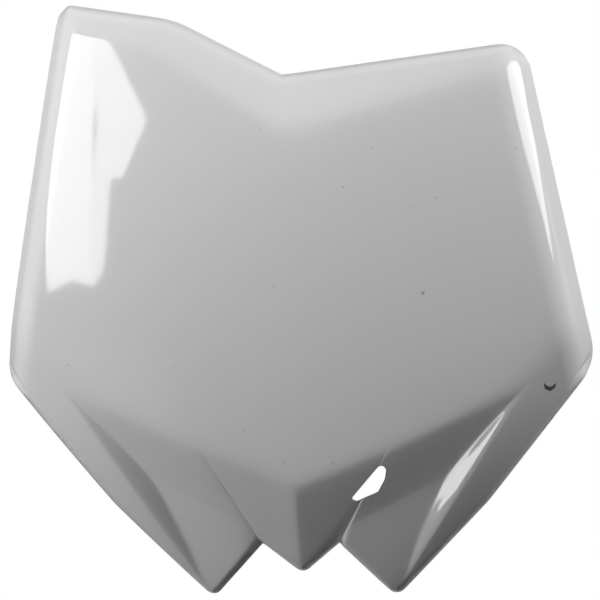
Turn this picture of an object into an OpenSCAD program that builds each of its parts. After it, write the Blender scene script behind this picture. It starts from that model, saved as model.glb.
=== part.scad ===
/* [Board] */
// Distance between the side corners, before they are rounded
board_w = 260.7; // [240:0.1:280]
// Height of the left horn above the wing tips, before rounding
board_h = 264.4; // [252:0.2:280]
// Height of the side corners above the wing tips
corner_h = 103.3; // [97:0.1:108]
// Wall of the moulding
wall = 2; // [1.6:0.1:2.4]

/* [Top edge] */
// Distance between the left and right horns
horn_span = 203.9; // [190:0.1:215]
// How far the right horn stands below the left one
horn_drop = 21.8; // [15:0.1:28]
// Place of the notch in the top edge, from the centre line and up
notch_x = -3.4; // [-6:0.1:3]
notch_h = 230.6; // [224:0.1:236]
// Distance of the bend in the left top edge from the centre line
bend_x = 50.2; // [44:0.1:58]
// Drop of that bend below the left horn
bend_drop = 8.8; // [6:0.1:12]

/* [Wings and beak] */
// Distance between the tips of the two wings
tip_span = 81.8; // [77:0.2:86]
// Distance between the two notches beside the beak
gap_span = 34; // [31:0.2:37]
// Height of those notches
gap_h = 25.6; // [23:0.1:28]
// Height of the tip of the beak
beak_h = 11.4; // [8:0.1:14]
// Slight bend in each lower edge: its distance from the tip of the wing, and how far it stands out
hip_run = 60.2; // [45:0.2:75]
hip_out = 3.1; // [1.5:0.1:4]

/* [Folds of the front] */
// Outer end of the lower fold: how far it lies inside the side corner and below it
apex_in = 30; // [26:0.5:34]
apex_drop = 9.1; // [6:0.1:12]
// Kink of the lower fold, from the centre line and up
kink_x = 39.8; // [37:0.1:42]
kink_h = 66.5; // [64:0.1:69]
// Height of the point of the lower fold, at the centre line
point_h = 51.4; // [48:0.1:54]
// Upper corner of each pocket floor: its distance from the apex along the crest, and its distance inside it
deep_run = 52; // [47:0.5:57]
deep_in = 8.9; // [7.5:0.1:10.5]
// Inner corner of each pocket floor, beside the beak, from the centre line and up
seam_x = 19.3; // [18:0.1:21]
seam_h = 32.8; // [31:0.1:35]
// Slope of the two planes below the outer fold
step_slope = 0.54; // [0.45:0.01:0.65]
// Outward slope of the bar along each wing
bar_slope = 0.49; // [0.4:0.01:0.6]
// How far the end of each bar sweeps back
bar_sweep = 12.9; // [9:0.1:16]
// Slope of the flange along the top edge
flange_slope = 0.5; // [0.4:0.01:0.65]
// Radii of the crown of the face, across and up
crown_x = 1000; // [700:10:1500]
crown_z = 1500; // [1000:10:3000]

/* [Rolled edges] */
// Radius, width and angle of the roll along the sides
side_roll_r = 12; // [9:0.5:14]
side_roll_w = 14.5; // [12.5:0.5:16]
side_roll_angle = 62; // [50:1:64]
// Radius, width and angle of the roll along the top
top_roll_r = 4; // [3:0.5:5]
top_roll_w = 5; // [4.5:0.5:6]
top_roll_angle = 70; // [55:1:75]
// Radius, width and angle of the roll along the lower edges
low_roll_r = 2.6; // [2.4:0.1:2.8]
low_roll_w = 3.1; // [2.9:0.1:3.4]
low_roll_angle = 66; // [55:1:74]

/* [Corners of the outline] */
// Radius at the left and the right side corner
left_corner_r = 8; // [4:1:20]
right_corner_r = 22; // [10:1:26]
// Radius at the left horn and at the right horn
left_horn_r = 7.2; // [3:0.2:10]
right_horn_r = 13.2; // [6:0.2:15]
// Radius at the tips of the wings and of the beak
tip_r = 4.4; // [2.5:0.1:5]

/* [Fixing] */
// Diameter of the two pegs on the back
peg_d = 8; // [6:0.5:10]
// Distance between the pegs
peg_span = 64; // [50:1:80]
// Height of the pegs above the wing tips
peg_h = 96; // [86:1:110]
// How far the pegs reach behind the front of the face
peg_reach = 30; // [24:0.5:32]
// Width of the strap bridge between its posts
bridge_w = 28; // [24:1:36]
// Gap that the strap runs through
bridge_gap = 6; // [5:0.5:8]

/* [Hidden] */
round_fn = 64;

// Soft widths of the folds, as half the depth that each fold loses at its middle
fold_soft = 1.2;
bar_soft = 1.6;
ridge_soft = 1;
flange_soft = 1.1;
crease_soft = 0.25;

// Radii of the sharper corners of the outline
gap_r = 0.9;
bend_r = 46;
notch_r = 4.1;
hip_r = 60;

// Corners of the outline seen from the front, before rounding
side_l = [-board_w / 2, corner_h];
side_r = [board_w / 2, corner_h];
horn_l = [-horn_span / 2, board_h];
horn_r = [horn_span / 2, board_h - horn_drop];
bend = [-bend_x, board_h - bend_drop];
notch = [notch_x, notch_h];
tip = [tip_span / 2, 0];
gap = [gap_span / 2, gap_h];
beak = [0, beak_h];
apex = side_r - [apex_in, apex_drop];
kink = [kink_x, kink_h];
point = [0, point_h];
seam = [seam_x, seam_h];

// Lower ends of the crest between bar and pocket and of the pocket wall below it
crest_end = tip + [4.7, 9.1];
foot_end = tip + [3, 8.1];
// Collar at the root of each peg, chamfer at its end, and the strap bridge
peg_collar = 3;
peg_collar_h = 8;
peg_lead = 1;
bridge_z = 176;
bridge_h = 12;
bridge_t = 3;
// Spare length by which a cut or a hidden end runs past the sheet
spare = 40;
// Slot beside the beak and half-moon hole in the right bar
slot_points = [[-16.3, -20.5], [-14, -21.6], [-4.6, -17.6], [-1.3, -11.8], [-0.4, -7.4], [-1.7, -5.6],
    [-3.8, -6.2]];
slot_r = 0.8;
moon_at = side_r - [20, 9.1];
moon_r = 2.45;
moon_width = 1.76;
moon_depth = 5;
// Upper crease of the face: its point, its two ends and the band below the left horn
flange_low = notch + [2.1, -24.9];
flange_l = bend + [-3.5, -13];
flange_r = horn_r + [-11, -11.7];
horn_band = 10.5;
horn_slope = 0.4;
horn_fade_x = -25;
// Soft line across each side of the beak, from its tip to the beak's outer edge
cheek_low = beak + [1.6, 4.4];
cheek_high = kink + [-10, -17.2];
cheek_slope = 0.35;
// Slope of the small wall that ends the beak beside each wing
cheek_wall = 3;
// How fast floor and wall of the pocket stop to count above the fold
pocket_fade = 0.5;
crown_mid = 152;
rim_inset = 1.1 * wall;
corner_power = 4;

function mirrored(p) = [-p[0], p[1]];
function lerp(a, b, f) = a + (b - a) * f;
function unit(v) = v / norm(v);
function left_of(v) = [-v[1], v[0]];
function above(p, a, b) = unit(b - a)[0] * (p - a)[1] - unit(b - a)[1] * (p - a)[0];
function soft_max(a, b, soft) = (a + b + sqrt((a - b) * (a - b) + 4 * soft * soft)) / 2;
function soft_min(a, b, soft) = -soft_max(-a, -b, soft);
// Growth of a wall's depth behind a plane of this slope
function lift(slope) = sqrt(1 + slope * slope);

function cross_of(u, v) = u[0] * v[1] - u[1] * v[0];
// Point where the line through a and b crosses the line through c and d
function crossing(a, b, c, d) = a + (b - a) * cross_of(c - a, d - c) / cross_of(b - a, d - c);

// Each fold is a plane that starts at a line; the sheet t behind the front keeps the wall
bar_out = -left_of(unit(side_r - tip));
hip = tip + hip_run * unit(side_r - tip) + hip_out * bar_out;
function bar_depth(p) =
    let (below = max(apex[1] - p[1], 0) / (apex[1] - crest_end[1]))
    bar_slope * (p - apex) * bar_out + bar_sweep * below * below;
crest_dir = unit(crest_end - apex);
function crest_depth(p) = bar_depth(apex + crest_dir * max((p - apex) * crest_dir, 0));
function crest_inside(p) = max((p - apex) * -left_of(crest_dir), 0);
deep = apex + deep_run * crest_dir - deep_in * left_of(crest_dir);
function step_depth(p) = -step_slope * above(p, kink, apex);
pocket_slope = (step_depth(deep) - crest_depth(deep)) / crest_inside(deep);
// The beak falls just as fast as brings it level with the step at the gap
beak_slope = -step_depth(gap) / above(gap, point, kink);

// Plane through the three corners of the pocket floor
function floor_depth(p) =
    let (u = seam - deep, v = foot_end - deep, w = p - deep, area = cross_of(u, v))
    step_depth(deep) + cross_of(w, v) / area * (step_depth(seam) - step_depth(deep))
    + cross_of(u, w) / area * (crest_depth(foot_end) - step_depth(deep));

function wing(p, t) =
    let (step = step_depth(p) + t * lift(step_slope),
         fade = pocket_fade * max(above(p, kink, apex), 0),
         bottom = fade + floor_depth(p) + t * lift(pocket_fade / 2),
         flank = fade + crest_depth(p) + pocket_slope * crest_inside(p) + t * lift(pocket_slope))
    soft_min(step, soft_min(bottom, flank, crease_soft), crease_soft);

// Two planes on each side of the ridge, which end in a small wall along the line from the kink to the gap
function beak_depth(p, t) =
    let (front = -beak_slope * above(p, point, kink) + t * lift(beak_slope),
         cheek = front - cheek_slope * above(p, cheek_low, cheek_high),
         start = t * (lift(cheek_wall) - lift(beak_slope)) / cheek_wall)
    soft_max(front, cheek, crease_soft) - cheek_wall * max(above(p, kink, gap) - start, 0);

function upper_fold(p, t) =
    let (slope = flange_slope,
         valley = soft_min(slope * above(p, flange_l, flange_low),
                           slope * above(p, flange_low, flange_r), flange_soft) + t * lift(slope),
         band = horn_slope * above(p, horn_l - [0, horn_band], bend - [0, horn_band]),
         horn = soft_min(band, horn_slope * (horn_fade_x - p[0]), crease_soft) + t * lift(horn_slope))
    soft_max(t, soft_max(valley, horn, crease_soft), flange_soft);

function folds(p, t) =
    let (q = [sqrt(p[0] * p[0] + ridge_soft * ridge_soft), p[1]],
         inner = soft_max(t, soft_max(wing(q, t), beak_depth(q, t), crease_soft), fold_soft),
         bar = bar_depth(q) + t * lift(bar_slope))
    soft_max(inner, bar, bar_soft) + upper_fold(p, t) - t;

function crown(p) = p[0] * p[0] / (2 * crown_x) + pow(p[1] - crown_mid, 2) / (2 * crown_z);

// Depth of a rolled edge at distance s from the outline: an arc, then a straight skirt
function roll(s, r, w, angle, t) =
    let (q = w - s, ri = r - t, arc = ri * sin(angle))
    q <= 0 ? t
    : q <= arc ? r - sqrt(ri * ri - q * q)
    : r - ri * cos(angle) + (q - arc) * tan(angle);

// Shift of an outline point that rounds the corner v between a and b
function corner_shift(p, v, a, b, r) =
    let (da = unit(a - v), db = unit(b - v), half = acos(da * db) / 2, reach = r / tan(half),
         s = norm(p - v), m = unit(da + db), n = unit(da - db),
         side = (p - v) * n >= 0 ? 1 : -1, turn = min(s / reach, 1) * (90 - half),
         centre = v + m * r / sin(half))
    s >= reach ? [0, 0] : centre + r * (n * side * sin(turn) - m * cos(turn)) - p;

corners = [
    [side_l, horn_l, mirrored(hip), left_corner_r], [side_r, horn_r, hip, right_corner_r],
    [horn_l, side_l, bend, left_horn_r], [horn_r, side_r, notch, right_horn_r],
    [mirrored(tip), mirrored(hip), mirrored(gap), tip_r], [tip, hip, gap, tip_r],
    [mirrored(gap), mirrored(tip), beak, gap_r], [gap, tip, beak, gap_r],
    [beak, mirrored(gap), gap, tip_r], [bend, horn_l, notch, bend_r], [notch, bend, horn_r, notch_r],
    [mirrored(hip), side_l, mirrored(tip), hip_r], [hip, side_r, tip, hip_r]];
function rounded(p, i = 0) =
    i == len(corners) ? [0, 0]
    : corner_shift(p, corners[i][0], corners[i][1], corners[i][2], corners[i][3]) + rounded(p, i + 1);

// Point at distance w inside the corner v of a line that runs a, v, b with the board on its left
function inside(a, v, b, w) =
    let (n1 = left_of(unit(v - a)), n2 = left_of(unit(b - v))) v + w * (n1 + n2) / (1 + n1 * n2);
function inside_line(line, w) =
    [for (i = [1 : len(line) - 2]) inside(line[i - 1], line[i], line[i + 1], w)];
function both(line) =
    concat([for (i = [len(line) - 1 : -1 : 1]) mirrored(line[i])], line);
function up_side(corner, horn, d) = corner + d * unit(horn - corner);
function with_sides(line, d) =
    concat([up_side(side_l, horn_l, d)], line, [up_side(side_r, horn_r, d)]);

// Section lines of the sheet from the lower outline to the top outline, each from left to right
shoulder = lerp(hip, side_r, 0.6);
cuff = lerp(hip, side_r, 1 - side_roll_w * 1.32 / norm(side_r - hip));
low_line = both([beak, gap, tip, hip, shoulder, cuff, side_r]);
low_inner = with_sides(inside_line(low_line, low_roll_w), 4);
slip = unit(apex - shoulder);
cuff_up = unit(horn_r - side_r);
// The step meets the pocket floor along the line from deep to seam
floor_root = crossing(gap, kink, deep, seam);
crest_line = with_sides(both([beak + [0, 6], lerp(gap, kink, 0.135), crest_end,
    apex + crest_dir * deep_run, apex - slip, cuff + 4 * cuff_up]), 6);
foot_line = with_sides(both([beak + [0, 9], lerp(gap, kink, 0.165), lerp(foot_end, deep, 0.03),
    deep, apex - slip / 3, cuff + 6 * cuff_up]), 8);
floor_line = with_sides(both([lerp(beak, point, 0.5), floor_root, lerp(floor_root, deep, 0.5),
    deep + slip / 3, apex + slip / 3, cuff + 8 * cuff_up]), 10);
fold_line = with_sides(both([point, kink, lerp(kink, apex, 0.22), lerp(kink, apex, 0.55),
    apex + slip, cuff + 10 * cuff_up]), 13);
top_left = [for (f = [0, 0.29, 0.62]) lerp(horn_l, bend, f)];
top_mid = [for (f = [0, 0.35, 0.7]) lerp(bend, notch, f)];
top_right = [for (f = [0, 0.22, 0.4, 0.56, 0.72, 0.855, 1]) lerp(notch, horn_r, f)];
top_line = concat(top_left, top_mid, top_right);
top_inner = concat([up_side(horn_l, side_l, top_roll_w)], inside_line(top_line, -top_roll_w),
                   [up_side(horn_r, side_r, top_roll_w)]);
crease_left = [for (p = [top_left[1], top_left[2]]) p - [1.3, horn_band]];
crease_mid = [for (f = [1, 0.65, 0.3]) lerp(flange_low, flange_l, f)];
crease_right = [for (f = [0.22, 0.42, 0.6, 0.78, 0.955]) lerp(flange_low, flange_r, f)];
crease_line = concat([up_side(horn_l, side_l, 12)], crease_left, crease_mid, [flange_low], crease_right,
                     [up_side(horn_r, side_r, 12)]);
lines = [low_line, low_inner, crest_line, foot_line, floor_line, fold_line, crease_line, top_inner, top_line];

// Steps between one section line and the next, closer where the sheet bends
row_steps = [[0.2, 0.4, 0.65, 1], [0.5, 1], [0.5, 1], [0.33, 0.67, 1], [0.45, 0.75, 0.9, 1],
    [0.012, 0.03, 0.06, 0.18, 0.32, 0.46, 0.6, 0.74, 0.86, 0.93, 0.97, 1], [0.1, 0.25, 0.6, 1],
    [0.35, 0.6, 0.8, 1]];
// Steps between one key column and the next, from the centre line out to the side
half_steps = [[0.06, 0.15, 0.4, 0.75, 0.94, 1], [0.06, 0.3, 0.6, 0.88, 0.95, 1],
    [0.03, 0.06, 0.2, 0.4, 0.6, 0.8, 1], [0.33, 0.67, 1], [0.5, 1],
    [0.12, 0.26, 0.4, 0.55, 0.73, 0.88, 1]];
function reversed_steps(s) = concat([for (i = [len(s) - 2 : -1 : 0]) 1 - s[i]], [1]);
column_steps = concat([for (i = [len(half_steps) - 1 : -1 : 0]) reversed_steps(half_steps[i])], half_steps);
// Place of each mesh line as block number plus fraction
function places(steps) =
    concat([0], [for (b = [0 : len(steps) - 1]) for (f = steps[b]) b + f]);
rows = places(row_steps);
columns = places(column_steps);
m = len(columns) - 1;
n = len(rows) - 1;

function on_line(line, u) =
    let (k = min(floor(u), len(line) - 2)) lerp(line[k], line[k + 1], u - k);
function plain(u, v) =
    let (k = min(floor(v), len(lines) - 2)) lerp(on_line(lines[k], u), on_line(lines[k + 1], u), v - k);
net = [for (v = rows) [for (u = columns) plain(u, v)]];

// Outline as one loop, anticlockwise from the left corner, and the same loop a rim inside
loop = concat([for (i = [0 : m - 1]) net[0][i]], [for (j = [0 : n - 1]) net[j][m]],
              [for (i = [m : -1 : 1]) net[n][i]], [for (j = [n : -1 : 1]) net[j][0]]);
outline = [for (p = loop) p + rounded(p)];
function loop_in(d) =
    [for (k = [0 : len(outline) - 1])
        let (a = outline[(k + len(outline) - 1) % len(outline)], b = outline[(k + 1) % len(outline)])
        outline[k] + d * left_of(unit(b - a))];

// The net with its border laid on the loop, which only the rolled bands follow
top_block = len(lines) - 2;
last_column = len(column_steps);
function low_share(v) = max(1 - v, 0);
function top_share(v) = max(v - top_block, 0);
function left_share(u) = max(1 - u, 0);
function right_share(u) = max(u - last_column + 1, 0);
function laid_net(border) =
    let (shift = [for (k = [0 : len(border) - 1]) border[k] - loop[k]], total = len(border))
    [for (j = [0 : n]) [for (i = [0 : m])
        let (a = low_share(rows[j]), b = top_share(rows[j]),
             c = left_share(columns[i]), d = right_share(columns[i]))
        net[j][i] + a * shift[i] + b * shift[2 * m + n - i]
        + c * shift[(2 * m + 2 * n - j) % total] + d * shift[m + j]
        - a * c * shift[0] - a * d * shift[m] - b * d * shift[m + n] - b * c * shift[2 * m + n]]];

function edge_rolls(u, v, t) =
    let (start = t > 0 ? rim_inset : 0,
         low_s = start + (1 - low_share(v)) * (low_roll_w - start),
         top_s = start + (1 - top_share(v)) * (top_roll_w - start),
         side_s = start + (1 - max(left_share(u), right_share(u))) * (side_roll_w - start),
         deeps = [roll(low_s, low_roll_r, low_roll_w, low_roll_angle, t) - t,
                  roll(top_s, top_roll_r, top_roll_w, top_roll_angle, t) - t,
                  roll(side_s, side_roll_r, side_roll_w, side_roll_angle, t) - t])
    pow(pow(deeps[0], corner_power) + pow(deeps[1], corner_power) + pow(deeps[2], corner_power),
        1 / corner_power);

function sheet(border, t) =
    let (flat = laid_net(border))
    [for (j = [0 : n]) for (i = [0 : m])
        let (p = flat[j][i])
        [p[0], crown(p) + folds(p, t) + edge_rolls(columns[i], rows[j], t), p[1]]];

front = sheet(outline, 0);
back = sheet(loop_in(rim_inset), wall);
// Offset that stands the board on its tips, centred across and in depth
skin = concat(front, back);
function low(axis) = min([for (p = skin) p[axis]]);
function high(axis) = max([for (p = skin) p[axis]]);
seat = -[(low(0) + high(0)) / 2, (low(1) + high(1)) / 2, low(2)];

function cell(i, j, base, flip) =
    let (a = base + j * (m + 1) + i, b = a + 1, c = a + m + 2, d = a + m + 1,
         pair = i < m / 2 ? [[a, d, c], [a, c, b]] : [[a, d, b], [b, d, c]])
    flip ? [for (f = pair) [f[2], f[1], f[0]]] : pair;
ring = concat([for (i = [0 : m - 1]) i], [for (j = [0 : n - 1]) j * (m + 1) + m],
              [for (i = [m : -1 : 1]) n * (m + 1) + i], [for (j = [n : -1 : 1]) j * (m + 1)]);
shell_faces = concat(
    [for (j = [0 : n - 1]) for (i = [0 : m - 1]) each cell(i, j, 0, false)],
    [for (j = [0 : n - 1]) for (i = [0 : m - 1]) each cell(i, j, len(front), true)],
    [for (k = [0 : len(ring) - 1])
        let (a = ring[k], b = ring[(k + 1) % len(ring)], s = len(front))
        each [[a, b, b + s], [a, b + s, a + s]]]);

module shell() {
    polyhedron(points = concat(front, back), faces = shell_faces);
}

// Depth of the front of the sheet, and how fast it grows across and up
function face(p) = crown(p) + folds(p, 0);
function face_tilt(p) = [face(p + [1, 0]) - face(p - [1, 0]), face(p + [0, 1]) - face(p - [0, 1])] / 2;

// A peg with a thicker root and a chamfered end that stands out of the back of the face
module peg(x) {
    start = crown([x, peg_h]) + wall / 2;
    length = peg_reach - start;
    translate([x, start, peg_h])
    rotate([-90, 0, 0]) {
        cylinder(d = peg_d, h = length - peg_lead, $fn = round_fn);
        translate([0, 0, length - peg_lead])
        cylinder(d1 = peg_d, d2 = peg_d - 2 * peg_lead, h = peg_lead, $fn = round_fn);
        cylinder(d = peg_d + 2 * peg_collar, h = wall / 2 + peg_collar_h, $fn = round_fn);
    }
}

// A flat bar on two posts that a strap runs through from top to bottom
module strap_bridge() {
    middle = crown([0, bridge_z]);
    post = crown([bridge_w / 2, bridge_z]);
    reach = post - middle + wall / 2 + bridge_gap;
    translate([0, middle + wall / 2, bridge_z])
    difference() {
        translate([-bridge_w / 2 - bridge_t, 0, 0])
        cube([bridge_w + 2 * bridge_t, reach + bridge_t, bridge_h]);
        translate([-bridge_w / 2, -1, -1])
        cube([bridge_w, reach + 1, bridge_h + 2]);
    }
}

// Opening through the step beside the beak, with rounded corners
module slot_cut() {
    rotate([90, 0, 0])
    linear_extrude(height = 2 * spare, center = true)
    offset(r = slot_r)
    offset(delta = -slot_r)
    polygon([for (p = slot_points) kink + p]);
}

// Closed boss behind the half-moon hole of the right bar, cut off inside the sheet
module moon_boss() {
    tilt = face_tilt(moon_at);
    out = [-tilt[0], 1, -tilt[1]];
    translate([moon_at[0], face(moon_at), moon_at[1]])
    difference() {
        rotate([-90, 0, 0])
        translate([0, 0, -spare])
        cylinder(r = moon_r + wall, h = spare + moon_depth + wall, $fn = round_fn);
        rotate([0, acos(out[2] / norm(out)), atan2(out[1], out[0])])
        translate([-spare, -spare, wall / 2 - 2 * spare])
        cube(2 * spare);
    }
}
module moon_cut() {
    translate([moon_at[0], 0, moon_at[1]])
    rotate([-90, 0, 0])
    difference() {
        cylinder(r = moon_r, h = face(moon_at) + moon_depth, $fn = round_fn);
        translate([0, -moon_width, -1])
        cylinder(r = moon_r, h = face(moon_at) + moon_depth + 2, $fn = round_fn);
    }
}

module number_board() {
    color("whitesmoke")
    translate(seat) {
        difference() {
            union() {
                shell();
                moon_boss();
            }
            slot_cut();
            moon_cut();
        }
        for (side = [-1, 1]) peg(side * peg_span / 2);
        strap_bridge();
    }
}

number_board();
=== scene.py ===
import bpy
import math
import numpy as np
from mathutils import Matrix


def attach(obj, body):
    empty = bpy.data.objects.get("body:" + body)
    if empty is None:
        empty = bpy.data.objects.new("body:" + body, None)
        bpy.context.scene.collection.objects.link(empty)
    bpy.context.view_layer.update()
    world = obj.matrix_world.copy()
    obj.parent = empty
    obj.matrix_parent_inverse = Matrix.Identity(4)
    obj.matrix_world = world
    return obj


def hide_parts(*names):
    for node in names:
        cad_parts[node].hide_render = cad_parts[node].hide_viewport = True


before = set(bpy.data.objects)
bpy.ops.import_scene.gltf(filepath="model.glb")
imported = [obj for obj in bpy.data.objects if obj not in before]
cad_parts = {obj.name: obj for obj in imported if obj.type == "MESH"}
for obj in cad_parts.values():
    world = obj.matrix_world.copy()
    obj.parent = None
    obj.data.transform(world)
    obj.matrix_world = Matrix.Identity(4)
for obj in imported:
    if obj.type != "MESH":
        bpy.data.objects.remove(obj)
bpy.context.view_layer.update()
print("frame loaded")

# Lengths of the board in millimetres, as in its construction. The softness of the lower folds and the values
# that start with left are the scene's own.
board = {
    "width": 260.7, "height": 264.4, "cornerHeight": 103.3, "wall": 2,
    "hornSpan": 203.9, "hornDrop": 21.8, "notch": (-3.4, 230.6), "bendX": 50.2, "bendDrop": 8.8,
    "tip": (40.9, 0), "gap": (17, 25.6), "beak": (0, 11.4), "hipRun": 60.2, "hipOut": 3.1,
    "apexIn": (30, 9.1), "kink": (39.8, 66.5), "point": (0, 51.4), "deepRun": 52, "deepIn": 8.9,
    "seam": (19.3, 32.8), "crestEnd": (4.7, 9.1), "footEnd": (3, 8.1),
    "stepSlope": 0.54, "barSlope": 0.49, "barSweep": 12.9,
    "flangeLow": (2.1, -24.9), "flangeL": (-3.5, -13), "flangeR": (-11, -11.7),
    "flangeSlope": 0.5, "hornSlope": 0.4, "hornBand": 10.5, "hornFadeX": -25,
    "cheekLow": (1.6, 4.4), "cheekHigh": (-10, -17.2), "cheekSlope": 0.35, "cheekWall": 3, "pocketFade": 0.5,
    "crownX": 1000, "crownZ": 1500, "crownMiddle": 152,
    "sideRoll": (12, 14.5, 62), "topRoll": (4, 5, 70), "lowRoll": (2.6, 3.1, 66),
    "leftCornerRadius": 8, "rightCornerRadius": 22, "leftHornRadius": 7.2, "rightHornRadius": 13.2,
    "tipRadius": 4.4, "gapRadius": 0.9, "bendRadius": 46, "notchRadius": 4.1, "hipRadius": 60,
    "foldSoft": 0.7, "barSoft": 1.3, "ridgeSoft": 1, "flangeSoft": 1.1, "creaseSoft": 0.25,
    "leftFade": 12, "leftCreaseSoft": 0.8, "leftCheek": 0.3, "leftWall": 0.6, "rimInset": 1.1, "cornerPower": 4,
}

# Steps between the section lines of the board, from the lower edge to the top edge, and from the middle out.
# Shares are fractions of a line between two corners, the rest are lengths in millimetres.
mesh = {
    "rowSteps": (10, 5, 6, 10, 16, 110, 22, 14), "columnSteps": (18, 20, 22, 14, 8, 28),
    "shoulderShare": 0.6, "cuffRatio": 1.32, "gapRatio": 1.4,
    "lowUp": 4, "crestUp": (6, 6, 4), "footUp": (8, 9, 6), "floorUp": (10, 8), "foldUp": (13, 10),
    "crestShare": 0.135, "footShares": (0.165, 0.03), "foldShares": (0.22, 0.55),
    "topShares": ((0, 0.29, 0.62), (0, 0.35, 0.7), (0, 0.22, 0.4, 0.56, 0.72, 0.855, 1)),
    "creaseShares": ((1, 0.65, 0.3), (0.22, 0.42, 0.6, 0.78, 0.955)), "creaseDown": 12, "creaseSlip": 1.3,
}


def place(*xz):
    return np.array(xz, float)


def mirrored(p):
    return p * place(-1, 1)


def blend(a, b, f):
    return a + (b - a) * f


def unit(v):
    return v / np.linalg.norm(v, axis=-1, keepdims=True)


def leftOf(v):
    return np.stack([-v[..., 1], v[..., 0]], axis=-1)


# Distance of p from the line through a and b, positive above it when b is to the right of a
def above(p, a, b):
    return (p - a) @ leftOf(unit(b - a))


# The larger of two depths, with a rounded change over where they are equal: mean plus half the root of
# the squared difference and the squared width
def softMax(a, b, soft):
    return (a + b + np.sqrt((a - b) ** 2 + 4 * soft ** 2)) / 2


def softMin(a, b, soft):
    return -softMax(-a, -b, soft)


# Extra depth that keeps the wall behind a plane of this slope
def lift(slope):
    return np.sqrt(1 + slope ** 2)


# Point where the line through a and b crosses the line through c and d
def crossing(a, b, c, d):
    share = (leftOf(d - c) @ (c - a)) / (leftOf(d - c) @ (b - a))
    return a + (b - a) * share


# Corner points of the outline and of the folds, in the plane of the face
spot = {name: place(*board[name]) for name in ("tip", "gap", "beak", "notch", "kink", "point", "seam")}
spot["sideR"] = place(board["width"] / 2, board["cornerHeight"])
spot["sideL"] = mirrored(spot["sideR"])
spot["hornL"] = place(-board["hornSpan"] / 2, board["height"])
spot["hornR"] = place(board["hornSpan"] / 2, board["height"] - board["hornDrop"])
spot["bend"] = place(-board["bendX"], board["height"] - board["bendDrop"])
spot["apex"] = spot["sideR"] - place(*board["apexIn"])
for name, start in (("crestEnd", "tip"), ("footEnd", "tip"), ("flangeLow", "notch"), ("flangeL", "bend"),
                    ("flangeR", "hornR"), ("cheekLow", "beak"), ("cheekHigh", "kink")):
    spot[name] = spot[start] + place(*board[name])

barAlong = unit(spot["sideR"] - spot["tip"])
barOut = -leftOf(barAlong)
crestDirection = unit(spot["crestEnd"] - spot["apex"])
spot["hip"] = spot["tip"] + board["hipRun"] * barAlong + board["hipOut"] * barOut
spot["deep"] = spot["apex"] + board["deepRun"] * crestDirection - board["deepIn"] * leftOf(crestDirection)


# Depth of the bar: its slope times the distance out from the apex, plus a square growth towards the tip
def barDepth(p):
    fall = spot["apex"][1] - spot["crestEnd"][1]
    below = np.maximum(spot["apex"][1] - p[..., 1], 0) / fall
    return board["barSlope"] * ((p - spot["apex"]) @ barOut) + board["barSweep"] * below ** 2


# Depth of the crest line beside p, which runs from the apex to the end of the bar
def crestDepth(p):
    along = np.maximum((p - spot["apex"]) @ crestDirection, 0)
    return barDepth(spot["apex"] + along[..., None] * crestDirection)


def crestInside(p):
    return np.maximum((p - spot["apex"]) @ -leftOf(crestDirection), 0)


def stepDepth(p):
    return -board["stepSlope"] * above(p, spot["kink"], spot["apex"])


pocketSlope = (stepDepth(spot["deep"]) - crestDepth(spot["deep"])) / crestInside(spot["deep"])
# The beak falls just as fast as brings it level with the step along the line from the kink to the gap
beakSlope = stepDepth(spot["gap"]) / -above(spot["gap"], spot["point"], spot["kink"])


# Depth of the plane through three corners of the pocket floor, by the areas of the triangles that p makes with them
def floorDepth(p):
    corners = [spot["deep"], spot["seam"], spot["footEnd"]]
    depths = [stepDepth(corners[0]), stepDepth(corners[1]), crestDepth(corners[2])]
    u, v = corners[1] - corners[0], corners[2] - corners[0]
    w = p - corners[0]
    area = u[0] * v[1] - u[1] * v[0]
    first = (w[..., 0] * v[1] - w[..., 1] * v[0]) / area
    second = (u[0] * w[..., 1] - u[1] * w[..., 0]) / area
    return depths[0] + first * (depths[1] - depths[0]) + second * (depths[2] - depths[0])


# Depth of a wing inside its bar: the least of step, pocket floor and pocket wall
def wing(p, t):
    step = stepDepth(p) + t * lift(board["stepSlope"])
    fade = board["pocketFade"] * np.maximum(above(p, spot["kink"], spot["apex"]), 0)
    floor = fade + floorDepth(p) + t * lift(board["pocketFade"] / 2)
    wall = fade + crestDepth(p) + pocketSlope * crestInside(p) + t * lift(pocketSlope)
    return softMin(step, softMin(floor, wall, board["creaseSoft"]), board["creaseSoft"])


# Depth of the beak: two planes on each side of its ridge, which end in a small wall along the line to the gap.
# A share of 1 gives the cheek its full slope, and wall is the slope of that small wall.
def beak(p, t, cheekShare, wall):
    front = -beakSlope * above(p, spot["point"], spot["kink"]) + t * lift(beakSlope)
    cheek = front - cheekShare * board["cheekSlope"] * above(p, spot["cheekLow"], spot["cheekHigh"])
    start = t * (lift(wall) - lift(beakSlope)) / wall
    beyond = np.maximum(above(p, spot["kink"], spot["gap"]) - start, 0)
    return softMax(front, cheek, board["creaseSoft"]) - wall * beyond


# Depth of the flange along the top: the lesser of two planes that meet in the middle, and the horn's own fold
def upperFold(p, t):
    slope = board["flangeSlope"]
    left = slope * above(p, spot["flangeL"], spot["flangeLow"])
    right = slope * above(p, spot["flangeLow"], spot["flangeR"])
    valley = softMin(left, right, board["flangeSoft"]) + t * lift(slope)
    down = place(0, board["hornBand"])
    band = board["hornSlope"] * above(p, spot["hornL"] - down, spot["bend"] - down)
    side = board["hornSlope"] * (board["hornFadeX"] - p[..., 0])
    horn = softMin(band, side, board["creaseSoft"]) + t * lift(board["hornSlope"])
    return softMax(t, softMax(valley, horn, board["creaseSoft"]), board["flangeSoft"])


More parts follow.
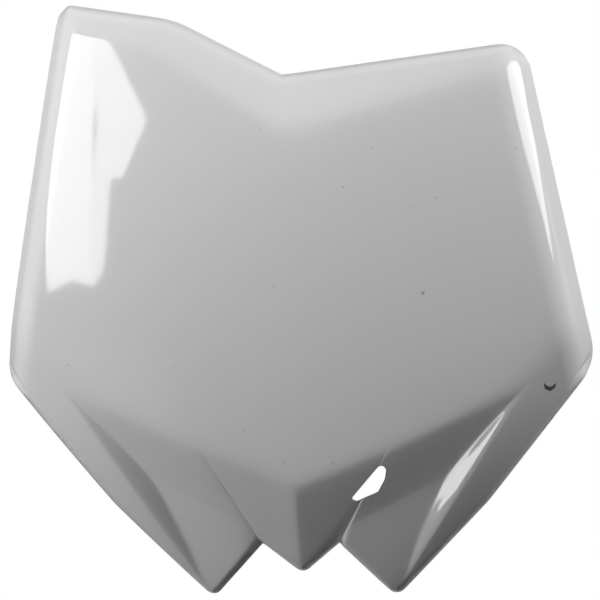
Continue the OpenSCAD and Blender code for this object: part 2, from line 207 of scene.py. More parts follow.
# All folds together, the lower ones the same on both sides of the middle apart from the crease beside the beak,
# which is softer on the left: leftness goes smoothly from 0 at the middle to 1
def folds(p, t):
    q = np.stack([np.sqrt(p[..., 0] ** 2 + board["ridgeSoft"] ** 2), p[..., 1]], axis=-1)
    leftness = np.clip(-p[..., 0] / board["leftFade"], 0, 1)
    leftness = leftness ** 2 * (3 - 2 * leftness)
    cheek = blend(1, board["leftCheek"], leftness)
    wall = blend(board["cheekWall"], board["leftWall"], leftness)
    crease = blend(board["creaseSoft"], board["leftCreaseSoft"], leftness)
    inner = softMax(t, softMax(wing(q, t), beak(q, t, cheek, wall), crease), board["foldSoft"])
    bar = barDepth(q) + t * lift(board["barSlope"])
    return softMax(inner, bar, board["barSoft"]) + upperFold(p, t) - t


# Crown of the face: the square of the distance over twice the radius, across and up
def crown(p):
    return p[..., 0] ** 2 / (2 * board["crownX"]) + (p[..., 1] - board["crownMiddle"]) ** 2 / (2 * board["crownZ"])


# Depth of a rolled edge at distance s from the outline: a circular arc, then a straight skirt
def roll(s, shape, t):
    radius, width, angle = shape
    angle = math.radians(angle)
    q, r = width - s, radius - t
    arc = r * math.sin(angle)
    curved = radius - np.sqrt(np.maximum(r ** 2 - q ** 2, 0))
    skirt = radius - r * math.cos(angle) + (q - arc) * math.tan(angle)
    return np.where(q <= 0, t, np.where(q <= arc, curved, skirt))


# Shift of outline points that rounds the corner v between a and b: equal steps of angle round its circle
def cornerShift(p, v, a, b, r):
    da, db = unit(a - v), unit(b - v)
    half = math.acos(da @ db) / 2
    reach = r / math.tan(half)
    s = np.linalg.norm(p - v, axis=-1, keepdims=True)
    m, n = unit(da + db), unit(da - db)
    side = np.where(((p - v) @ n)[..., None] >= 0, 1, -1)
    turn = np.minimum(s / reach, 1) * (math.pi / 2 - half)
    moved = v + m * r / math.sin(half) + r * (n * side * np.sin(turn) - m * np.cos(turn))
    return np.where(s >= reach, 0, moved - p)


def rounded(p):
    s = spot
    corners = [
        (s["sideL"], s["hornL"], mirrored(s["hip"]), board["leftCornerRadius"]),
        (s["sideR"], s["hornR"], s["hip"], board["rightCornerRadius"]),
        (s["hornL"], s["sideL"], s["bend"], board["leftHornRadius"]),
        (s["hornR"], s["sideR"], s["notch"], board["rightHornRadius"]),
        (mirrored(s["tip"]), mirrored(s["hip"]), mirrored(s["gap"]), board["tipRadius"]),
        (s["tip"], s["hip"], s["gap"], board["tipRadius"]),
        (mirrored(s["gap"]), mirrored(s["tip"]), s["beak"], board["gapRadius"]),
        (s["gap"], s["tip"], s["beak"], board["gapRadius"]),
        (s["beak"], mirrored(s["gap"]), s["gap"], board["tipRadius"]),
        (s["bend"], s["hornL"], s["notch"], board["bendRadius"]),
        (s["notch"], s["bend"], s["hornR"], board["notchRadius"]),
        (mirrored(s["hip"]), s["sideL"], mirrored(s["tip"]), board["hipRadius"]),
        (s["hip"], s["sideR"], s["tip"], board["hipRadius"]),
    ]
    return p + sum(cornerShift(p, *corner) for corner in corners)


# Point at distance w inside the corner v of a line a, v, b that has the board on its left
def inside(a, v, b, w):
    n1, n2 = leftOf(unit(v - a)), leftOf(unit(b - v))
    return v + w * (n1 + n2) / (1 + n1 @ n2)


def insideLine(line, w):
    return [inside(line[k - 1], line[k], line[k + 1], w) for k in range(1, len(line) - 1)]


def bothSides(line):
    return [mirrored(p) for p in reversed(line[1:])] + line


def upSide(corner, horn, d):
    return corner + d * unit(horn - corner)


def withSides(line, d):
    return [upSide(spot["sideL"], spot["hornL"], d)] + line + [upSide(spot["sideR"], spot["hornR"], d)]


# Section lines of the sheet, from the lower outline to the top outline, each from left to right
def sectionLines():
    s, m = spot, mesh
    sideWidth, lowWidth, topWidth = board["sideRoll"][1], board["lowRoll"][1], board["topRoll"][1]
    shoulder = blend(s["hip"], s["sideR"], m["shoulderShare"])
    cuff = blend(s["hip"], s["sideR"], 1 - sideWidth * m["cuffRatio"] / np.linalg.norm(s["sideR"] - s["hip"]))
    slip = unit(s["apex"] - shoulder)
    cuffUp = unit(s["hornR"] - s["sideR"])
    low = bothSides([s["beak"], s["gap"], s["tip"], s["hip"], shoulder, cuff, s["sideR"]])

    # Above each gap the line keeps to the crease between wing and beak, so that no quad lies across it
    lowPoints = insideLine(low, lowWidth)
    middle = len(lowPoints) // 2
    rise = lowWidth * m["gapRatio"]
    lowPoints[middle + 1] = s["gap"] + rise * (s["kink"] - s["gap"]) / (s["kink"] - s["gap"])[1]
    lowPoints[middle - 1] = mirrored(lowPoints[middle + 1])
    lowInner = withSides(lowPoints, m["lowUp"])

    root = crossing(s["gap"], s["kink"], s["deep"], s["seam"])
    sideUp, beakUp, up = m["crestUp"]
    crest = withSides(bothSides([s["beak"] + place(0, beakUp), blend(s["gap"], s["kink"], m["crestShare"]),
                                 s["crestEnd"], s["apex"] + crestDirection * board["deepRun"], s["apex"] - slip,
                                 cuff + up * cuffUp]), sideUp)
    sideUp, beakUp, up = m["footUp"]
    gapShare, endShare = m["footShares"]
    foot = withSides(bothSides([s["beak"] + place(0, beakUp), blend(s["gap"], s["kink"], gapShare),
                                blend(s["footEnd"], s["deep"], endShare), s["deep"], s["apex"] - slip / 3,
                                cuff + up * cuffUp]), sideUp)
    sideUp, up = m["floorUp"]
    floor = withSides(bothSides([blend(s["beak"], s["point"], 0.5), root, blend(root, s["deep"], 0.5),
                                 s["deep"] + slip / 3, s["apex"] + slip / 3, cuff + up * cuffUp]), sideUp)
    sideUp, up = m["foldUp"]
    fold = withSides(bothSides([s["point"], s["kink"]] + [blend(s["kink"], s["apex"], f) for f in m["foldShares"]]
                               + [s["apex"] + slip, cuff + up * cuffUp]), sideUp)

    legs = ((s["hornL"], s["bend"]), (s["bend"], s["notch"]), (s["notch"], s["hornR"]))
    topLeft, topMiddle, topRight = ([blend(start, end, f) for f in shares]
                                    for (start, end), shares in zip(legs, m["topShares"]))
    top = topLeft + topMiddle + topRight
    topInner = ([upSide(s["hornL"], s["sideL"], topWidth)] + insideLine(top, -topWidth)
                + [upSide(s["hornR"], s["sideR"], topWidth)])
    leftShares, rightShares = m["creaseShares"]
    crease = ([upSide(s["hornL"], s["sideL"], m["creaseDown"])]
              + [p - place(m["creaseSlip"], board["hornBand"]) for p in topLeft[1:]]
              + [blend(s["flangeLow"], s["flangeL"], f) for f in leftShares] + [s["flangeLow"]]
              + [blend(s["flangeLow"], s["flangeR"], f) for f in rightShares]
              + [upSide(s["hornR"], s["sideR"], m["creaseDown"])])
    return np.array([low, lowInner, crest, foot, floor, fold, crease, topInner, top])


# Places of the mesh lines as block number plus fraction, with the steps closer together at both ends of a block
def lineplaces(steps):
    parts = [k + (1 - np.cos(np.linspace(0, math.pi, n, endpoint=False))) / 2 for k, n in enumerate(steps)]
    return np.concatenate(parts + [[len(steps)]])


def blockOf(values, blocks):
    number = np.minimum(np.floor(values).astype(int), blocks - 1)
    return number, values - number


# Border points of a net as one loop, anticlockwise from the left side corner
def borderOf(net):
    return np.concatenate([net[0, :-1], net[:-1, -1], net[-1, :0:-1], net[:0:-1, 0]])


# The net with its border moved onto the loop: each band takes up the shift in proportion to its own fraction
def laidNet(net, border, rows, columns, blocks, sides):
    shift = border - borderOf(net)
    n, m = net.shape[0] - 1, net.shape[1] - 1
    bottom, right = shift[:m + 1], shift[m:m + n + 1]
    top = shift[m + n:2 * m + n + 1][::-1]
    left = np.concatenate([shift[2 * m + n:], shift[:1]])[::-1]
    a = np.maximum(1 - rows, 0)[:, None, None]
    b = np.maximum(rows - blocks + 1, 0)[:, None, None]
    c = np.maximum(1 - columns, 0)[None, :, None]
    d = np.maximum(columns - sides + 1, 0)[None, :, None]
    moved = net + a * bottom[None] + b * top[None] + c * left[:, None] + d * right[:, None]
    return moved - a * c * shift[0] - a * d * shift[m] - b * d * shift[m + n] - b * c * shift[2 * m + n]


# Depth that the rolled edges add: each roll by its own distance, and near a corner the power mean of them
def edgeRolls(rows, columns, blocks, sides, t):
    start = board["rimInset"] * t
    deeps = []
    for shape, share in ((board["lowRoll"], np.maximum(1 - rows, 0)[:, None]),
                         (board["topRoll"], np.maximum(rows - blocks + 1, 0)[:, None]),
                         (board["sideRoll"], np.maximum(np.maximum(1 - columns, 0), columns - sides + 1)[None])):
        deeps.append(roll(start + (1 - share) * (shape[1] - start), shape, t) - t)
    power = board["cornerPower"]
    return sum(deep ** power for deep in deeps) ** (1 / power)


# Front and back sheets over one net of section lines, closed by a flat rim: depth is crown plus folds plus rolls
def shellMesh():
    lines = sectionLines()
    blocks, sides = lines.shape[0] - 1, lines.shape[1] - 1
    rows = lineplaces(mesh["rowSteps"])
    columns = lineplaces(mesh["columnSteps"][::-1] + mesh["columnSteps"])
    i, f = blockOf(columns, sides)
    across = lines[:, i] + (lines[:, i + 1] - lines[:, i]) * f[None, :, None]
    j, g = blockOf(rows, blocks)
    net = across[j] + (across[j + 1] - across[j]) * g[:, None, None]
    outline = rounded(borderOf(net))
    tangent = unit(np.roll(outline, -1, axis=0) - np.roll(outline, 1, axis=0))
    inner = outline + board["rimInset"] * board["wall"] * leftOf(tangent)
    sheets = []
    for border, t in ((outline, 0), (inner, board["wall"])):
        flat = laidNet(net, border, rows, columns, blocks, sides)
        depth = crown(flat) + folds(flat, t) + edgeRolls(rows, columns, blocks, sides, t)
        sheets.append(np.stack([flat[..., 0], depth, flat[..., 1]], axis=-1))
    front, back = sheets
    points = np.concatenate([front.reshape(-1, 3), back.reshape(-1, 3)])
    number = np.arange(len(points)).reshape(2, *front.shape[:2])
    quads = []
    for k, order in ((0, (0, 1, 2, 3)), (1, (3, 2, 1, 0))):
        cell = np.stack([number[k, :-1, :-1], number[k, :-1, 1:], number[k, 1:, 1:], number[k, 1:, :-1]], axis=-1)
        quads.append(cell.reshape(-1, 4)[:, order])
    near, far = borderOf(number[0]), borderOf(number[1])
    quads.append(np.stack([np.roll(near, -1), near, far, np.roll(far, -1)], axis=-1))
    return points, np.concatenate(quads)


# Offset that centres the sheet across and in depth and stands it on its tips
def seatOf(points):
    low, high = points.min(axis=0), points.max(axis=0)
    return -np.array([(low[0] + high[0]) / 2, (low[1] + high[1]) / 2, low[2]])


def meshObject(name, points, faces):
    data = bpy.data.meshes.new(name)
    data.from_pydata(points.tolist(), [], faces if isinstance(faces, list) else faces.tolist())
    data.update()
    data.validate()
    piece = bpy.data.objects.new(name, data)
    bpy.context.scene.collection.objects.link(piece)
    return piece


# Pegs and strap bridge on the back, slot beside the beak and half-moon hole in the right bar
fixing = {
    "pegRadius": 4, "pegSpan": 64, "pegHeight": 96, "pegReach": 30, "pegLead": 1, "collar": 3, "collarHeight": 8,
    "fillet": 1, "bridgeHeight": 176, "bridgeWidth": 28, "bridgeGap": 6, "bridgeThick": 3, "bridgeBand": 12,
    "slot": ((-16.3, -20.5), (-14, -21.6), (-4.6, -17.6), (-1.3, -11.8), (-0.4, -7.4), (-1.7, -5.6), (-3.8, -6.2)),
    "slotRadius": 0.8, "moon": (-20, -9.1), "moonRadius": 2.45, "moonWidth": 2, "moonDepth": 5, "spare": 40,
    "roundSteps": 64, "cornerSteps": 7, "sharpAngle": 40,
}


# Depth of the front of the sheet at p
def face(p):
    return crown(p) + folds(p, 0)


# Ring grid closed by a flat cap at each end: rows of n points in space, joined by quads
def tube(name, rows):
    count, n = rows.shape[:2]
    number = np.arange(count * n).reshape(count, n)
    after = np.roll(number, -1, axis=1)
    quads = np.stack([number[:-1], after[:-1], after[1:], number[1:]], axis=-1).reshape(-1, 4)
    faces = quads.tolist() + [number[0, ::-1].tolist(), number[-1].tolist()]
    return meshObject(name, (rows.reshape(-1, 3) + seat) / 1000, faces)


# Points of a circle in the plane of the face, clockwise seen from the front
def circle(centre, radius):
    turn = np.linspace(0, 2 * math.pi, fixing["roundSteps"], endpoint=False)
    return centre + radius * np.stack([np.cos(turn), -np.sin(turn)], axis=-1)


def atDepth(loop, depth):
    return np.stack([loop[:, 0], np.broadcast_to(depth, len(loop)), loop[:, 1]], axis=-1)


# Quarter circle of fillet from (radius + r, depth) to (radius, depth + r)
def filletProfile(radius, depth, r):
    turn = np.linspace(0, math.pi / 2, fixing["cornerSteps"])
    return list(zip(radius + r - r * np.sin(turn), depth + r - r * np.cos(turn)))


# Peg turned from a profile of radius and depth: collar, fillet, shank and chamfer
def makePeg(side):
    f = fixing
    centre = place(side * f["pegSpan"] / 2, f["pegHeight"])
    start = crown(centre) + board["wall"] / 2
    collarEnd = start + board["wall"] / 2 + f["collarHeight"]
    back = start + board["wall"] / 2
    wide = f["pegRadius"] + f["collar"]
    profile = [(wide + f["fillet"], start)] + filletProfile(wide, back, f["fillet"])
    profile += [(wide, collarEnd - f["fillet"] / 2), (wide - f["fillet"] / 2, collarEnd)]
    profile += filletProfile(f["pegRadius"], collarEnd, f["fillet"] / 2)
    profile += [(f["pegRadius"], f["pegReach"] - f["pegLead"]), (f["pegRadius"] - f["pegLead"], f["pegReach"])]
    return tube("peg", np.array([atDepth(circle(centre, r), depth) for r, depth in profile]))


# Bridge as a bent bar: the outline of its section, at each height of its band
def makeBridge():
    f = fixing
    middle = crown(place(0, f["bridgeHeight"])) + board["wall"] / 2
    reach = crown(place(f["bridgeWidth"] / 2, f["bridgeHeight"])) - middle + board["wall"] + f["bridgeGap"]
    inner, outer, thick = f["bridgeWidth"] / 2, f["bridgeWidth"] / 2 + f["bridgeThick"], f["bridgeThick"]
    outline = roundedLoop([(-outer, 0), (-outer, reach + thick), (outer, reach + thick), (outer, 0), (inner, 0),
                           (inner, reach), (-inner, reach), (-inner, 0)], 1)
    rows = [np.stack([outline[:, 0], middle + outline[:, 1], np.full(len(outline), f["bridgeHeight"] + up)], axis=-1)
            for up in (0, f["bridgeBand"])]
    return tube("bridge", np.array(rows))


# Loop with an arc of radius r at each corner, turning by equal steps between its two straight sides
def roundedLoop(corners, r):
    corners = np.array(corners, float)
    out = []
    for a, v, b in zip(np.roll(corners, 1, axis=0), corners, np.roll(corners, -1, axis=0)):
        da, db = unit(a - v), unit(b - v)
        half = math.acos(da @ db) / 2
        m, n = unit(da + db), unit(da - db)
        turn = np.linspace(1, -1, fixing["cornerSteps"])[:, None] * (math.pi / 2 - half)
        out.append(v + m * r / math.sin(half) + r * (n * np.sin(turn) - m * np.cos(turn)))
    return np.concatenate(out)


def slotCutter():
    loop = roundedLoop([spot["kink"] + place(*p) for p in fixing["slot"]], fixing["slotRadius"])
    return tube("slotCutter", np.array([atDepth(loop, -fixing["spare"]), atDepth(loop, fixing["spare"])])[::-1])


# Boss that starts inside the sheet and closes the half-moon hole from behind
def makeBoss():
    centre = spot["sideR"] + place(*fixing["moon"])
    loop = circle(centre, fixing["moonRadius"] + board["wall"])
    end = face(centre) + fixing["moonDepth"] + board["wall"]
    return tube("boss", np.array([atDepth(loop, face(loop) + board["wall"] / 2), atDepth(loop, end)]))


# Crescent between a circle and the same circle moved up, cut to the boss's floor: the circle's points are its
# radius times the sine and cosine of the turn from straight up
def moonCutter():
    f = fixing
    centre = spot["sideR"] + place(*f["moon"])
    reach = math.acos(f["moonWidth"] / 2 / f["moonRadius"])
    low = np.linspace(reach, 2 * math.pi - reach, f["roundSteps"] // 2)
    high = np.linspace(math.pi + reach, math.pi - reach, f["roundSteps"] // 4 + 2)[1:-1]
    arcs = [centre + place(0, up) + f["moonRadius"] * np.stack([np.sin(turn), np.cos(turn)], axis=-1)
            for turn, up in ((low, 0), (high, f["moonWidth"]))]
    loop = np.concatenate(arcs)
    return tube("moonCutter", np.array([atDepth(loop, 0), atDepth(loop, face(centre) + f["moonDepth"])]))


# Joins or cuts the piece with another closed mesh, which is then removed
def combine(piece, other, operation):
    change = piece.modifiers.new(operation, "BOOLEAN")
    change.operation, change.object, change.solver = operation, other, "MANIFOLD"
    shape = bpy.data.meshes.new_from_object(piece.evaluated_get(bpy.context.evaluated_depsgraph_get()))
    shape.materials.clear()
    piece.modifiers.clear()
    piece.data = shape
    bpy.data.objects.remove(other)


def makeBoard(points, quads):
    piece = meshObject("boardShell", (points + seat) / 1000, quads)
    for part in (makePeg(-1), makePeg(1), makeBridge(), makeBoss()):
        combine(piece, part, "UNION")
    for cutter in (slotCutter(), moonCutter()):
        combine(piece, cutter, "DIFFERENCE")
    piece.data.shade_smooth()
    piece.data.set_sharp_from_angle(angle=math.radians(fixing["sharpAngle"]))
    return piece


# Glossy white moulded plastic. Specks are x, z and radius in millimetres, then darkness. Each fades out between
# half its radius and twice its radius. The last two are faint wide marks, and the flow line is faint too.
plastic = {
    "colour": 0.7, "ior": 1.5, "roughness": (0.035, 0.055), "roughScale": 90, "shadeRange": 0.012, "shadeScale": 14,
    "noiseRange": (0.3, 0.7), "speckFade": (2, 0.5),
    "specks": (
        (57.8, 133.2, 0.55, 0.5), (64.1, 173.7, 0.35, 0.3), (54.3, 170, 0.3, 0.22), (24.5, 179.2, 0.35, 0.3),
        (19.2, 193.5, 0.3, 0.22), (37.2, 195.6, 0.3, 0.25), (98.5, 193.8, 0.3, 0.25), (-10.9, 204.9, 0.3, 0.22),
        (-20.4, 74.9, 0.35, 0.25), (-3.8, 61.2, 0.35, 0.3), (17.4, 60.5, 0.35, 0.3), (-98.1, 104.3, 0.35, 0.25),
        (-107.5, 79.7, 0.35, 0.25), (-50.7, 103, 0.3, 0.2), (-6.1, 137.4, 0.5, 0.12),
        (23.2, 138.1, 1.8, 0.015), (10.2, 97.5, 1.8, 0.015),
    ),
    "flowLine": ((9.7, 194.5), (9.5, 141.4), (16.5, 106.9), (14.7, 70.6)), "flowWidth": 0.7, "flowShade": 0.02,
    "flowFade": 20,
}


def plasticMaterial():
    material = bpy.data.materials.new("mouldedPlastic")
    material.use_nodes = True
    nodes, links = material.node_tree.nodes, material.node_tree.links
    shader = nodes["Principled BSDF"]
    shader.inputs["IOR"].default_value = plastic["ior"]

    # New node with its inputs set or linked by number or name, and its first output returned
    def node(kind, inputs, **settings):
        made = nodes.new(kind)
        for name, value in settings.items():
            setattr(made, name, value)
        for name, value in inputs.items():
            if isinstance(value, bpy.types.NodeSocket):
                links.new(value, made.inputs[name])
            else:
                made.inputs[name].default_value = value
        return next(output for output in made.outputs if output.enabled)

    def ramp(value, low, high, start=0, end=1):
        return node("ShaderNodeMapRange", {"Value": value, "From Min": low, "From Max": high, "To Min": start,
                                           "To Max": end})

    def calculate(operation, a, b):
        return node("ShaderNodeMath", {0: a, 1: b}, operation=operation)

    # Uneven shade, and specks by their distance in the plane of the face
    position = nodes.new("ShaderNodeTexCoord").outputs["Object"]
    flat = node("ShaderNodeVectorMath", {0: position, 1: (1, 0, 1)}, operation="MULTIPLY")
    noise = node("ShaderNodeTexNoise", {"Vector": position, "Scale": plastic["shadeScale"]})
    dark = ramp(noise, *plastic["noiseRange"], 0, plastic["shadeRange"])
    for x, z, radius, darkness in plastic["specks"]:
        distance = node("ShaderNodeVectorMath", {0: flat, 1: (x / 1000, 0, z / 1000)}, operation="DISTANCE")
        far, near = (radius * share / 1000 for share in plastic["speckFade"])
        dark = calculate("ADD", dark, ramp(distance, far, near, 0, darkness))

    # Distance across from the flow line, whose x goes from point to point as z falls
    split = nodes.new("ShaderNodeSeparateXYZ")
    links.new(flat, split.inputs["Vector"])
    across, height = split.outputs["X"], split.outputs["Z"]
    line = plastic["flowLine"]
    middle = line[0][0] / 1000
    for (x0, z0), (x1, z1) in zip(line, line[1:]):
        middle = calculate("ADD", middle, ramp(height, z0 / 1000, z1 / 1000, 0, (x1 - x0) / 1000))
    aside = calculate("ABSOLUTE", calculate("SUBTRACT", across, middle), 0)
    faint = ramp(aside, plastic["flowWidth"] / 1000, 0, 0, plastic["flowShade"])
    upper = ramp(height, line[0][1] / 1000, (line[0][1] - plastic["flowFade"]) / 1000)
    lower = ramp(height, line[-1][1] / 1000, (line[-1][1] + plastic["flowFade"]) / 1000)
    dark = calculate("ADD", dark, calculate("MULTIPLY", faint, calculate("MULTIPLY", upper, lower)))
    shade = ramp(dark, 0, 1, plastic["colour"], 0)
    tint = node("ShaderNodeCombineXYZ", {"X": shade, "Y": shade, "Z": shade})
    links.new(tint, shader.inputs["Base Color"])
    rough = node("ShaderNodeTexNoise", {"Vector": position, "Scale": plastic["roughScale"]})
    links.new(ramp(rough, *plastic["noiseRange"], *plastic["roughness"]), shader.inputs["Roughness"])
    return material


points, quads = shellMesh()
seat = seatOf(points)
shell = makeBoard(points, quads)
shell.data.materials.append(plasticMaterial())
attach(shell, "root")
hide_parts("number_board")
print("board made", len(shell.data.polygons), "faces")

# The camera stands to the right of the board and a little low. Angles in degrees, lengths in millimetres.
view = {
    "distance": 1242, "yaw": 6.7, "pitch": 2.23, "roll": 1.24, "scale": 0.4307,
    "pivotDepth": 3.5, "pivotHeight": 130, "axisPixel": (290.8, 307.2), "frame": 600, "sensor": 36,
}


def makeCamera():
    yaw, pitch, turn = (math.radians(view[k]) for k in ("yaw", "pitch", "roll"))
    forward = np.array([-math.sin(yaw) * math.cos(pitch), math.cos(yaw) * math.cos(pitch), -math.sin(pitch)])
    right = np.array([math.cos(yaw), math.sin(yaw), 0])
    up = np.cross(right, forward)
    pivot = (np.array([0, view["pivotDepth"], view["pivotHeight"]]) + seat) / 1000
    eye = pivot - forward * view["distance"] / 1000
    right, up = (math.cos(turn) * right - math.sin(turn) * up, math.sin(turn) * right + math.cos(turn) * up)
    focal = view["distance"] / view["scale"]
    aside, over = (math.atan((view["frame"] / 2 - pixel) / focal) for pixel in view["axisPixel"])
    right, forward = (math.cos(aside) * right - math.sin(aside) * forward,
                      math.sin(aside) * right + math.cos(aside) * forward)
    up, forward = (math.cos(over) * up + math.sin(over) * forward,
                   math.cos(over) * forward - math.sin(over) * up)
    data = bpy.data.cameras.new("camera")
    data.sensor_width = view["sensor"]
    data.lens = view["sensor"] * focal / view["frame"]
    camera = bpy.data.objects.new("camera", data)
    axes = Matrix([list(right), list(up), list(-forward)]).transposed().to_4x4()
    camera.matrix_world = Matrix.Translation(eye.tolist()) @ axes
    bpy.context.scene.collection.objects.link(camera)
    bpy.context.scene.camera = camera


makeCamera()
print("camera placed")


def lookAt(start, goal):
    back = unit(np.array(start, float) - np.array(goal, float))
    side = unit(np.cross([0, 0, 1.0], back))
    axes = Matrix([list(side), list(np.cross(back, side)), list(back)]).transposed().to_4x4()
    return Matrix.Translation(list(start)) @ axes


# Square lamps that light the plain surfaces and show in no reflection. Angles in degrees are seen from the board,
# to the right and up, distances are in metres and power in watts.
lampSize = 0.4
lamps = {
    "rightLamp": {"azimuth": 80, "height": 35, "distance": 1.1, "power": 11},
    "leftLamp": {"azimuth": -55, "height": 0, "distance": 1.1, "power": 2.7},
    "leftTopLamp": {"azimuth": -55, "height": 35, "distance": 1.1, "power": 2.6},
    "nearSideLamp": {"azimuth": -65, "height": 10, "distance": 0.5, "power": 0.8},
    "nearTopLamp": {"azimuth": -40, "height": 40, "distance": 0.5, "power": 0.75},
    "backTopLamp": {"azimuth": 170, "height": 20, "distance": 1.1, "power": 6},
    "backLamp": {"azimuth": 195, "height": 5, "distance": 1.1, "power": 3},
}
aim = (0, 0, 0.13)  # middle of the board


# Point at this distance from the aim: forward turned by the azimuth, then lifted by the height
def aroundBoard(azimuth, height, distance):
    turn, rise = math.radians(azimuth), math.radians(height)
    return (aim[0] + distance * math.sin(turn) * math.cos(rise),
            aim[1] - distance * math.cos(turn) * math.cos(rise), aim[2] + distance * math.sin(rise))


def areaLamp(name, azimuth, height, distance, power):
    data = bpy.data.lights.new(name, "AREA")
    data.shape = "SQUARE"
    data.size = lampSize
    data.energy = power
    lamp = bpy.data.objects.new(name, data)
    lamp.matrix_world = lookAt(aroundBoard(azimuth, height, distance), aim)
    lamp.visible_glossy = False
    bpy.context.scene.collection.objects.link(lamp)


for name, settings in lamps.items():
    areaLamp(name, **settings)

# Light cards that only reflections show, each a flat outline in metres, right and up from its middle. The window
# and the card beside it make the large highlight, the low card the one in the right pocket.
cards = {
    "windowCard": {
        "azimuth": -38, "height": 8, "distance": 1.1, "strength": 9.5,
        "outline": ((-0.54, 0.46), (0.27, 0.41), (0.27, 0.08), (0.267, 0.03), (0.27, -0.03), (0.27, -0.2),
                    (0.23, -0.19), (0.18, -0.21), (0.18, -0.18), (-0.15, -0.08), (-0.43, 0.01), (-0.55, 0.07),
                    (-0.64, 0.13), (-0.62, 0.22)),
    },
    "besideCard": {
        "azimuth": -38, "height": 8, "distance": 1.1, "strength": 8.5,
        "outline": ((0.271, 0.41), (0.3, 0.39), (0.31, 0.2), (0.33, 0.12), (0.37, 0.05), (0.325, -0.04),
                    (0.303, -0.04), (0.295, -0.15), (0.288, -0.18), (0.271, -0.2), (0.271, -0.03), (0.275, 0.03),
                    (0.271, 0.08)),
    },
    "lowCard": {
        "azimuth": -36, "height": -11, "distance": 3, "strength": 9,
        "outline": ((-0.75, 0.25), (0.5, 0.25), (1, 0.2), (1, -0.1), (0.5, -0.3), (0.2, -0.6), (-0.75, -0.6)),
    },
    # As bright as what is behind it: it keeps the low card out of the face's left side
    "shieldCard": {
        "azimuth": 0, "height": 0, "distance": 0.15, "strength": 0.4,
        "outline": ((-0.5, -0.025), (-0.09, -0.025), (-0.09, -0.15), (-0.12, -0.17), (-0.5, -0.17)),
    },
    "stripCard": {
        "azimuth": 90, "height": 15, "distance": 0.9, "strength": 7.5,
        "outline": ((-0.48, 0.09), (-0.38, 0.32), (-0.06, 0.34), (0.34, 0.29), (0.37, 0.08), (0.24, 0.01),
                    (0.05, -0.03), (-0.09, -0.07), (-0.28, -0.105), (-0.31, -0.05), (-0.47, 0.03)),
    },
    # Dark lid above, so that the flange and the top roll reflect less
    "topShade": {
        "azimuth": 0, "height": 89, "distance": 1.2, "strength": 0.3,
        "outline": ((-1.6, -1.5), (1.6, -1.5), (1.6, 1.3), (-1.6, 1.3)),
    },
}


# Lets a surface glow and show in reflections alone, from one strength at the first height to another at the second
def glowing(card, strengths, heights):
    material = bpy.data.materials.new(card.name)
    material.use_nodes = True
    nodes, links = material.node_tree.nodes, material.node_tree.links
    nodes.clear()
    glow, end = nodes.new("ShaderNodeEmission"), nodes.new("ShaderNodeOutputMaterial")
    where, part, amount = (nodes.new("ShaderNode" + kind) for kind in ("TexCoord", "SeparateXYZ", "MapRange"))
    links.new(where.outputs["Object"], part.inputs["Vector"])
    links.new(part.outputs["Z"], amount.inputs["Value"])
    for entry, value in zip(("From Min", "From Max", "To Min", "To Max"), (*heights, *strengths)):
        amount.inputs[entry].default_value = value
    links.new(amount.outputs["Result"], glow.inputs["Strength"])
    links.new(glow.outputs["Emission"], end.inputs["Surface"])
    card.data.materials.append(material)
    card.visible_camera = card.visible_diffuse = card.visible_shadow = card.visible_transmission = False


# Flat card that faces the board: its outline times the turn and shift of its place
def lightCard(name, azimuth, height, distance, strength, outline):
    flat = np.array([(x, y, 0, 1) for x, y in outline])
    turnAndShift = np.array(lookAt(aroundBoard(azimuth, height, distance), aim))
    card = meshObject(name, (flat @ turnAndShift.T)[:, :3], [list(range(len(outline)))])
    glowing(card, (strength, strength), (0, 1))


for name, settings in cards.items():
    lightCard(name, **settings)

# Upright dark arcs round the board, in front and behind, which only reflections show. Start and end are degrees
# to the right of the front, the rest metres. The strength goes from the first value to the second between the
# heights of the fade.
shades = {
    "frontShade": {"start": -75, "end": 113, "radius": 3.5, "low": -1.5, "high": 1,
                   "strengths": (0.05, 1), "fade": (-0.5, 0.6)},
    "backShade": {"start": 113, "end": 285, "radius": 1.6, "low": -1.4, "high": 1.6,
                  "strengths": (0.15, 0.15), "fade": (0, 1)},
}
shadeSteps = 24


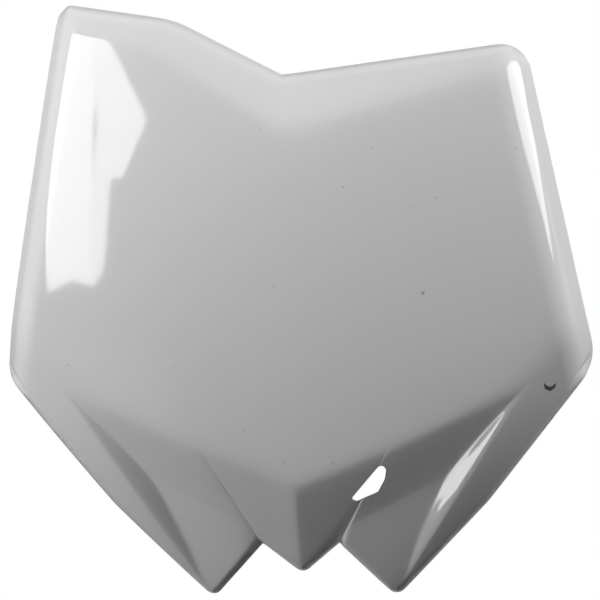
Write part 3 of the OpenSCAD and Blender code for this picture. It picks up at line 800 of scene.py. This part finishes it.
# Part of an upright cylinder: radius times the sine and cosine of the turn, at its low and its high edge
def darkArc(name, start, end, radius, low, high, strengths, fade):
    turn = np.radians(np.linspace(start, end, shadeSteps + 1))
    edge = [np.stack([radius * np.sin(turn), -radius * np.cos(turn), np.full(len(turn), z)], axis=-1)
            for z in (low, high)]
    n = len(turn)
    first = np.arange(n - 1)
    faces = np.stack([first, first + 1, first + n + 1, first + n], axis=-1)
    glowing(meshObject(name, np.concatenate(edge), faces), strengths, fade)


for name, settings in shades.items():
    darkArc(name, **settings)

# Pale floor in metres. It adds no light to the board.
floor = {"height": -0.4, "reach": 1.2, "colour": (0.72, 0.72, 0.72, 1), "roughness": 0.9}


def makeFloor():
    r, z = floor["reach"], floor["height"]
    ground = meshObject("studioFloor", np.array([(-r, -r, z), (r, -r, z), (r, r, z), (-r, r, z)]), [[0, 1, 2, 3]])
    material = bpy.data.materials.new("studioFloor")
    material.use_nodes = True
    shader = material.node_tree.nodes["Principled BSDF"]
    shader.inputs["Base Color"].default_value = floor["colour"]
    shader.inputs["Roughness"].default_value = floor["roughness"]
    ground.data.materials.append(material)
    ground.visible_diffuse = False


makeFloor()
print("lights and floor made")

# Strength of the white surroundings: for the camera and reflections, and for the light on plain surfaces
surroundings = {"seen": 1, "soft": 0.01}


def makeWorld():
    world = bpy.data.worlds.new("world")
    bpy.context.scene.world = world
    world.use_nodes = True
    nodes, links = world.node_tree.nodes, world.node_tree.links
    path = nodes.new("ShaderNodeLightPath")
    back = nodes["Background"]
    back.inputs["Color"].default_value = (1, 1, 1, 1)
    seen = path.outputs["Is Camera Ray"]
    for kind in ("Is Glossy Ray", "Is Transmission Ray"):
        either = nodes.new("ShaderNodeMath")
        either.operation = "MAXIMUM"
        links.new(seen, either.inputs[0])
        links.new(path.outputs[kind], either.inputs[1])
        seen = either.outputs["Value"]
    strength = nodes.new("ShaderNodeMapRange")
    strength.inputs["To Min"].default_value = surroundings["soft"]
    strength.inputs["To Max"].default_value = surroundings["seen"]
    links.new(seen, strength.inputs["Value"])
    links.new(strength.outputs["Result"], back.inputs["Strength"])


makeWorld()
bpy.context.scene.view_settings.view_transform = "Standard"

print("finished")
